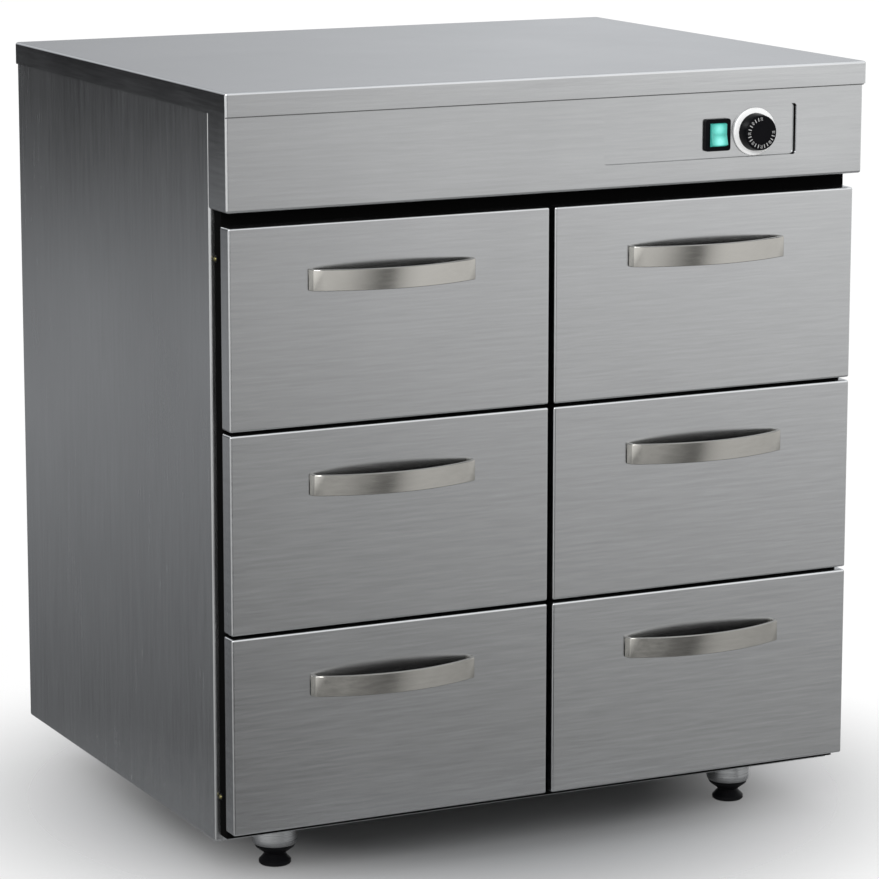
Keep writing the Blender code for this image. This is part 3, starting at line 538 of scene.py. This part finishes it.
def slot_finishes():
    """A material for each slot of the record."""
    rocker_low, rocker_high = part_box("switch_rocker")
    rocker_middle = (rocker_low + rocker_high) / 2
    rocker_middle.y = rocker_low.y
    handle_nickel = brushed_metal(
        "nickel_brushed_painted_shade", NICKEL, "X", roughness=0.22, contrast=0.04, stretch=0.15, relief=0.004
    )
    # Paints shade onto the handles' upper rims and inner sides
    leave_back_dull(handle_nickel)
    return {
        "brushed_steel": brushed_metal("steel_brushed_across", STEEL, "X", roughness=0.19),
        "liner_steel": plain_metal(
            "steel_plain", LINER, roughness=0.40, cloud_scale=9.0, contrast=0.05
        ),
        "satin_nickel": handle_nickel,
        "zinc_slides": plain_metal(
            "zinc_plated", ZINC, roughness=0.36, cloud_scale=120.0, contrast=0.10
        ),
        "seal_rubber": moulded(
            "rubber_black", RUBBER_BLACK, roughness=0.75, grit_scale=700.0, relief=0.25, sheen=0.02
        ),
        "black_plastic": moulded(
            "plastic_black", PLASTIC_BLACK, roughness=0.36, grit_scale=FINE_GRIT_SCALE,
            relief=0.12, sheen=0.06,
        ),
        "black_coated_steel": moulded(
            "coat_black", COAT_BLACK, roughness=0.42, grit_scale=1500.0, relief=0.25, sheen=0.10
        ),
        "white_plastic": moulded(
            "plastic_white", PLASTIC_WHITE, roughness=0.34, grit_scale=FINE_GRIT_SCALE,
            relief=0.08, contrast=0.03,
        ),
        "lit_green_lens": lit_lens("lens_lit_green", rocker_middle),
        "element_steel": heat_stained("element_stained"),
        "insulation_wool": fibrous("wool_mineral"),
    }


def finish_nodes(finishes):
    """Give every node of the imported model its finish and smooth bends."""
    upright = brushed_metal(
        "steel_brushed_upright", STEEL, "Z", roughness=0.24,
        scales=UPRIGHT_STREAKS, contrast=0.09, stretch=0.30, relief=0.01,
    )
    turned = turned_metal("steel_turned", STEEL, roughness=0.30)
    special = {name: upright for name in ("left_side_panel", "right_side_panel", "back_panel")}
    group = smooth_group()
    for name, piece in nodes.items():
        material = special.get(name, finishes[slot_of[name]])
        if name.startswith("foot_cup"):
            material = turned
        piece.data.materials.clear()
        piece.data.materials.append(material)
        smooth_bends(piece, group)


def new_piece(name, data):
    piece = bpy.data.objects.new(name, data)
    scene.collection.objects.link(piece)
    return piece


def new_mesh(name, mesh):
    data = bpy.data.meshes.new(name)
    mesh.to_mesh(data)
    mesh.free()
    return data


def smooth_piece(name, data):
    data.shade_smooth()
    data.set_sharp_from_angle(angle=SMOOTH_ANGLE)
    return new_piece(name, data)


def lathe(name, profile, place, axis, steps=TURNED_STEPS):
    """A turned piece: radius and height pairs, spun about an axis."""
    mesh = bmesh.new()
    corners = [mesh.verts.new((radius, 0.0, height)) for radius, height in profile]
    edges = [mesh.edges.new(pair) for pair in zip(corners, corners[1:])]
    bmesh.ops.spin(
        mesh, geom=corners + edges, cent=(0, 0, 0), axis=(0, 0, 1), angle=math.tau, steps=steps
    )
    bmesh.ops.remove_doubles(mesh, verts=mesh.verts, dist=TURNED_WELD)
    bmesh.ops.recalc_face_normals(mesh, faces=mesh.faces)
    turn = Vector((0, 0, 1)).rotation_difference(axis).to_matrix().to_4x4()
    bmesh.ops.transform(mesh, matrix=Matrix.Translation(place) @ turn, verts=mesh.verts)
    return smooth_piece(name, new_mesh(name, mesh))


def give(piece, material, body):
    piece.data.materials.append(material)
    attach(piece, body)


def sweep(name, rings):
    """A closed strip through rings of corners, with both its ends filled."""
    count = len(rings[0])
    corners = [corner for ring in rings for corner in ring]
    faces = []
    for first in range(len(rings) - 1):
        low = first * count
        high = low + count
        for index in range(count):
            after = (index + 1) % count
            faces.append((low + index, low + after, high + after, high + index))
    faces.append(tuple(range(count)))
    faces.append(tuple(range(len(corners) - count, len(corners))))
    data = bpy.data.meshes.new(name)
    data.from_pydata(corners, [], faces)
    mesh = bmesh.new()
    mesh.from_mesh(data)
    bmesh.ops.recalc_face_normals(mesh, faces=mesh.faces)
    mesh.to_mesh(data)
    mesh.free()
    return smooth_piece(name, data)


def build_inserts(brass, black):
    """Domed brass screws on black washers, in the sides of the seal behind the drawer fronts."""
    seal_low, seal_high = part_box("front_seal")
    for label, across, way in (("left", seal_low.x, -1), ("right", seal_high.x, 1)):
        for level, height in zip(("low", "high"), INSERT_LEVELS):
            place = Vector((across, seal_high.y - INSERT_FROM_FLANGE, height))
            outward = Vector((way, 0, 0))
            name = "insert_%s_%s" % (label, level)
            washer = lathe(name + "_washer", INSERT_WASHER, place, outward)
            give(washer, black, "cabinet")
            head = lathe(name, INSERT_HEAD, place, outward)
            give(head, brass, "cabinet")


def build_sealant(grey):
    """A dark grey strip of painted shadow where the worktop's skirt meets the fascia."""
    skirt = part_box("worktop")[0]
    fascia_low, fascia_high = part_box("control_fascia")
    section = [(fascia_low.y, skirt.z)]
    for step in range(SHADOW_LINE_STEPS + 1):
        angle = math.pi / 2 * step / SHADOW_LINE_STEPS
        depth = fascia_low.y - SHADOW_LINE_SIZE * math.sin(angle)
        section.append((depth, skirt.z - SHADOW_LINE_SIZE * math.cos(angle)))
    rings = []
    for across in (fascia_low.x, fascia_high.x):
        rings.append([(across, depth, height) for depth, height in section])
    give(sweep("skirt_shadow_line", rings), grey, "cabinet")


def pocket_strip(name, path, thickness, front, material):
    """A strip of painted shadow on the wall of the control pocket, along places with the wall's
    direction at each.
    """
    outer = POCKET_CORNER
    inner = POCKET_CORNER - thickness
    start = POCKET_DEPTH - SHADOW_STRIP_DEPTH
    section = ((outer, start), (outer, POCKET_DEPTH), (inner, POCKET_DEPTH), (inner, start))
    rings = []
    for across, height, angle in path:
        way = Vector((math.cos(angle), 0.0, math.sin(angle)))
        ring = []
        for radius, depth in section:
            ring.append(Vector((across, front + depth, height)) + radius * way)
        rings.append(ring)
    give(sweep(name, rings), material, "cabinet")


def build_pocket_trim(rubber, grey):
    """A black strip of painted shadow on the right end of the control pocket, and a grey one along
    its bottom.
    """
    low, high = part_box("control_fascia")
    bottom = low.z + POCKET_RISE + POCKET_CORNER
    top = low.z + POCKET_RISE + POCKET_HEIGHT - POCKET_CORNER
    middle = high.x - POCKET_FROM_RIGHT - POCKET_CORNER
    quarter = math.pi / 2
    path = [(middle - SHADOW_STRIP_HOOK, top, quarter)]
    for height, first in ((top, quarter), (bottom, 0.0)):
        for step in range(SHADOW_STRIP_STEPS + 1):
            path.append((middle, height, first - quarter * step / SHADOW_STRIP_STEPS))
    path.append((middle - SHADOW_STRIP_HOOK, bottom, -quarter))
    pocket_strip("pocket_shadow_strip", path, SHADOW_STRIP_THICKNESS, low.y, rubber)
    left = high.x - POCKET_FROM_RIGHT - POCKET_WIDTH + POCKET_CORNER
    bead = [(left, bottom, -quarter), (middle - SHADOW_STRIP_HOOK, bottom, -quarter)]
    pocket_strip("pocket_shadow_bead", bead, SHADOW_BEAD_THICKNESS, low.y, grey)


def build_back_screws(zinc):
    """Pan-head screws round the edge of the back panel."""
    low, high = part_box("back_panel")
    columns, rows = BACK_SCREWS
    left = low.x + BACK_SCREW_MARGIN
    right = high.x - BACK_SCREW_MARGIN
    bottom = low.z + BACK_SCREW_MARGIN
    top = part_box("worktop")[0].z - BACK_SCREW_MARGIN
    places = set()
    for index in range(columns):
        across = left + (right - left) * index / (columns - 1)
        places.update(((across, bottom), (across, top)))
    for index in range(rows):
        height = bottom + (top - bottom) * index / (rows - 1)
        places.update(((left, height), (right, height)))
    backward = Vector((0, 1, 0))
    for number, (across, height) in enumerate(sorted(places)):
        name = "back_screw_%02d" % number
        place = Vector((across, high.y, height))
        screw = lathe(name, BACK_SCREW_HEAD, place, backward, BACK_SCREW_STEPS)
        give(screw, zinc, "cabinet")


def number_mesh(name, words):
    """Flat numbers as a thin mesh, centred on the origin."""
    curve = bpy.data.curves.new(name, "FONT")
    curve.body = words
    curve.size = DIAL_NUMBER_SIZE
    curve.align_x = "CENTER"
    curve.align_y = "CENTER"
    curve.extrude = PRINT_DEPTH / 2
    curve.resolution_u = PRINT_CURVE_STEPS
    thing = new_piece(name, curve)
    bpy.context.view_layer.update()
    shaped = thing.evaluated_get(bpy.context.evaluated_depsgraph_get())
    data = bpy.data.meshes.new_from_object(shaped)
    bpy.data.objects.remove(thing)
    return data


def tick_mesh(name):
    mesh = bmesh.new()
    bmesh.ops.create_cube(mesh, size=1.0)
    bmesh.ops.scale(mesh, vec=(*DIAL_TICK, PRINT_DEPTH), verts=mesh.verts)
    bmesh.ops.bevel(mesh, geom=mesh.edges, offset=PRINT_BEVEL, segments=1, affect="EDGES")
    return new_mesh(name, mesh)


def build_dial_print(white):
    """Numbers and ticks printed round the face of the knob, all along its radius."""
    low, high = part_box("thermostat_knob")
    middle = Vector(((low.x + high.x) / 2, low.y, (low.z + high.z) / 2))
    face = Matrix.Translation(middle) @ Matrix.Rotation(math.pi / 2, 4, "X")
    outward = Matrix.Translation((DIAL_NUMBER_RADIUS, 0.0, 0.0))
    marks = (len(DIAL_NUMBERS) - 1) * (DIAL_TICKS_BETWEEN + 1)
    for index in range(marks + 1):
        number, between = divmod(index, DIAL_TICKS_BETWEEN + 1)
        if between:
            data = tick_mesh("dial_tick_%02d" % index)
        else:
            data = number_mesh("dial_number_%02d" % index, str(DIAL_NUMBERS[number]))
        angle = DIAL_FIRST_ANGLE + DIAL_SWEEP * index / marks
        data.transform(face @ (Matrix.Rotation(angle, 4, "Z") @ outward))
        give(new_piece("dial_mark_%02d" % index, data), white, "knob")


def build_camera():
    camera = bpy.data.cameras.new("camera")
    camera.sensor_width = SENSOR_WIDTH
    camera.lens = FOCAL_PIXELS / IMAGE_SIZE * SENSOR_WIDTH
    camera.shift_x = (IMAGE_SIZE / 2 - CENTRE_PIXEL[0]) / IMAGE_SIZE
    camera.shift_y = (CENTRE_PIXEL[1] - IMAGE_SIZE / 2) / IMAGE_SIZE
    holder = new_piece("camera", camera)
    turn = Matrix((CAMERA_RIGHT, -CAMERA_DOWN, -CAMERA_FORWARD)).transposed()
    holder.matrix_world = Matrix.Translation(CAMERA_PLACE) @ turn.to_4x4()
    scene.camera = holder


def level_ramp(tree, value, levels, tint=(1.0, 1.0, 1.0)):
    """Brightness along one part of a direction, from -1 to 1."""
    stops = []
    for place, level in levels:
        stops.append(((place + 1) / 2, tuple(level * share for share in tint)))
    return ramp(tree, spread(tree, value, -1.0, 1.0, 0.0, 1.0), stops)


def build_world():
    """Soft studio surroundings: bright on the right, dark behind on the left, light overhead."""
    world = bpy.data.worlds.new("studio")
    scene.world = world
    world.use_nodes = True
    tree = world.node_tree
    way = add_node(tree, "TexCoord")
    parts = add_node(tree, "SeparateXYZ")
    tree.links.new(way.outputs["Generated"], parts.inputs["Vector"])
    across, depth, rise = parts.outputs
    far = spread(tree, across, *FAR_LEFT_X, 1.0, 0.0, smooth=True)
    right = spread(tree, across, *RIGHT_X, 0.0, 1.0, smooth=True)
    behind = spread(tree, depth, *BEHIND_Y, 0.0, 1.0, smooth=True)
    below = spread(tree, rise, *FLOOR_BELOW_Z, 1.0, 0.0, smooth=True)
    high = spread(tree, rise, *SKY_ABOVE_Z, 0.0, 1.0, smooth=True)
    above = spread(tree, rise, *OVERHEAD_Z, 0.0, 1.0, smooth=True)
    fall_far = level_ramp(tree, rise, FRONT_FALL_FAR)
    fall_left = level_ramp(tree, rise, FRONT_FALL_LEFT)
    fall_right = level_ramp(tree, rise, FRONT_FALL_RIGHT)
    fall = mix_colours(tree, "MIX", far, fall_left, fall_far)
    fall = mix_colours(tree, "MIX", right, fall, fall_right)
    front = mix_colours(tree, "MULTIPLY", 1.0, level_ramp(tree, across, FRONT_ACROSS), fall)
    front = mix_colours(tree, "MIX", below, front, FLOOR_LEVEL)
    front = mix_colours(tree, "MIX", high, front, level_ramp(tree, across, FRONT_SKY))
    wall = level_ramp(tree, across, BACK_WALL, COOL)
    wall = mix_colours(tree, "LIGHTEN", 1.0, wall, level_ramp(tree, rise, BACK_HORIZON))
    back = mix_colours(tree, "MIX", right, level_ramp(tree, rise, BACK_LEFT, COOL), wall)
    around = mix_colours(tree, "MIX", behind, front, back)
    studio = mix_colours(tree, "MIX", above, around, OVERHEAD)
    tree.links.new(studio, tree.nodes["Background"].inputs["Color"])


def build_lamp(name, place, aim, size, power):
    lamp = bpy.data.lights.new(name, "AREA")
    lamp.shape = "SQUARE"
    lamp.size = size
    lamp.energy = power
    turn = (aim - place).to_track_quat("-Z", "Y").to_matrix().to_4x4()
    new_piece(name, lamp).matrix_world = Matrix.Translation(place) @ turn


def build_floor():
    """A plain pale floor that fades out at its rim."""
    mesh = bmesh.new()
    bmesh.ops.create_circle(mesh, cap_ends=True, segments=FLOOR_CORNERS, radius=FLOOR_RADIUS)
    floor = new_piece("floor", new_mesh("floor", mesh))
    material, tree, shader = new_material("floor_paper")
    reach = add_node(tree, "VectorMath", operation="LENGTH")
    tree.links.new(own_place(tree), reach.inputs[0])
    fade = spread(tree, reach.outputs["Value"], *FLOOR_RIM, 1.0, 0.0, smooth=True)
    tree.links.new(fade, shader.inputs["Alpha"])
    shader.inputs["Base Color"].default_value = (*FLOOR_TONE, 1.0)
    shader.inputs["Roughness"].default_value = FLOOR_ROUGHNESS
    shader.inputs["Specular IOR Level"].default_value = FLOOR_SHEEN
    floor.data.materials.append(material)


build_camera()
finishes = slot_finishes()
finish_nodes(finishes)
brass = plain_metal("brass_turned", BRASS, roughness=0.32, cloud_scale=300.0, contrast=0.12)
build_inserts(brass, finishes["black_plastic"])
# A grey strip of painted shadow under the worktop's skirt
shadow_line_material = moulded("shadow_line_grey", SHADOW_LINE_GREY, roughness=0.6, grit_scale=900.0, relief=0.10)
build_sealant(shadow_line_material)
# Strips of painted shadow on the pocket's right end and along its bottom
build_pocket_trim(finishes["seal_rubber"], shadow_line_material)
build_back_screws(finishes["zinc_slides"])
ink = moulded(
    "print_white", PRINT_WHITE, roughness=0.5, grit_scale=FINE_GRIT_SCALE,
    relief=0.05, contrast=0.04,
)
build_dial_print(ink)
build_world()
build_lamp("key", KEY_PLACE, KEY_AIM, KEY_SIZE, KEY_POWER)
build_lamp("fill", FILL_PLACE, FILL_AIM, FILL_SIZE, FILL_POWER)
build_floor()
scene.view_settings.view_transform = "Standard"
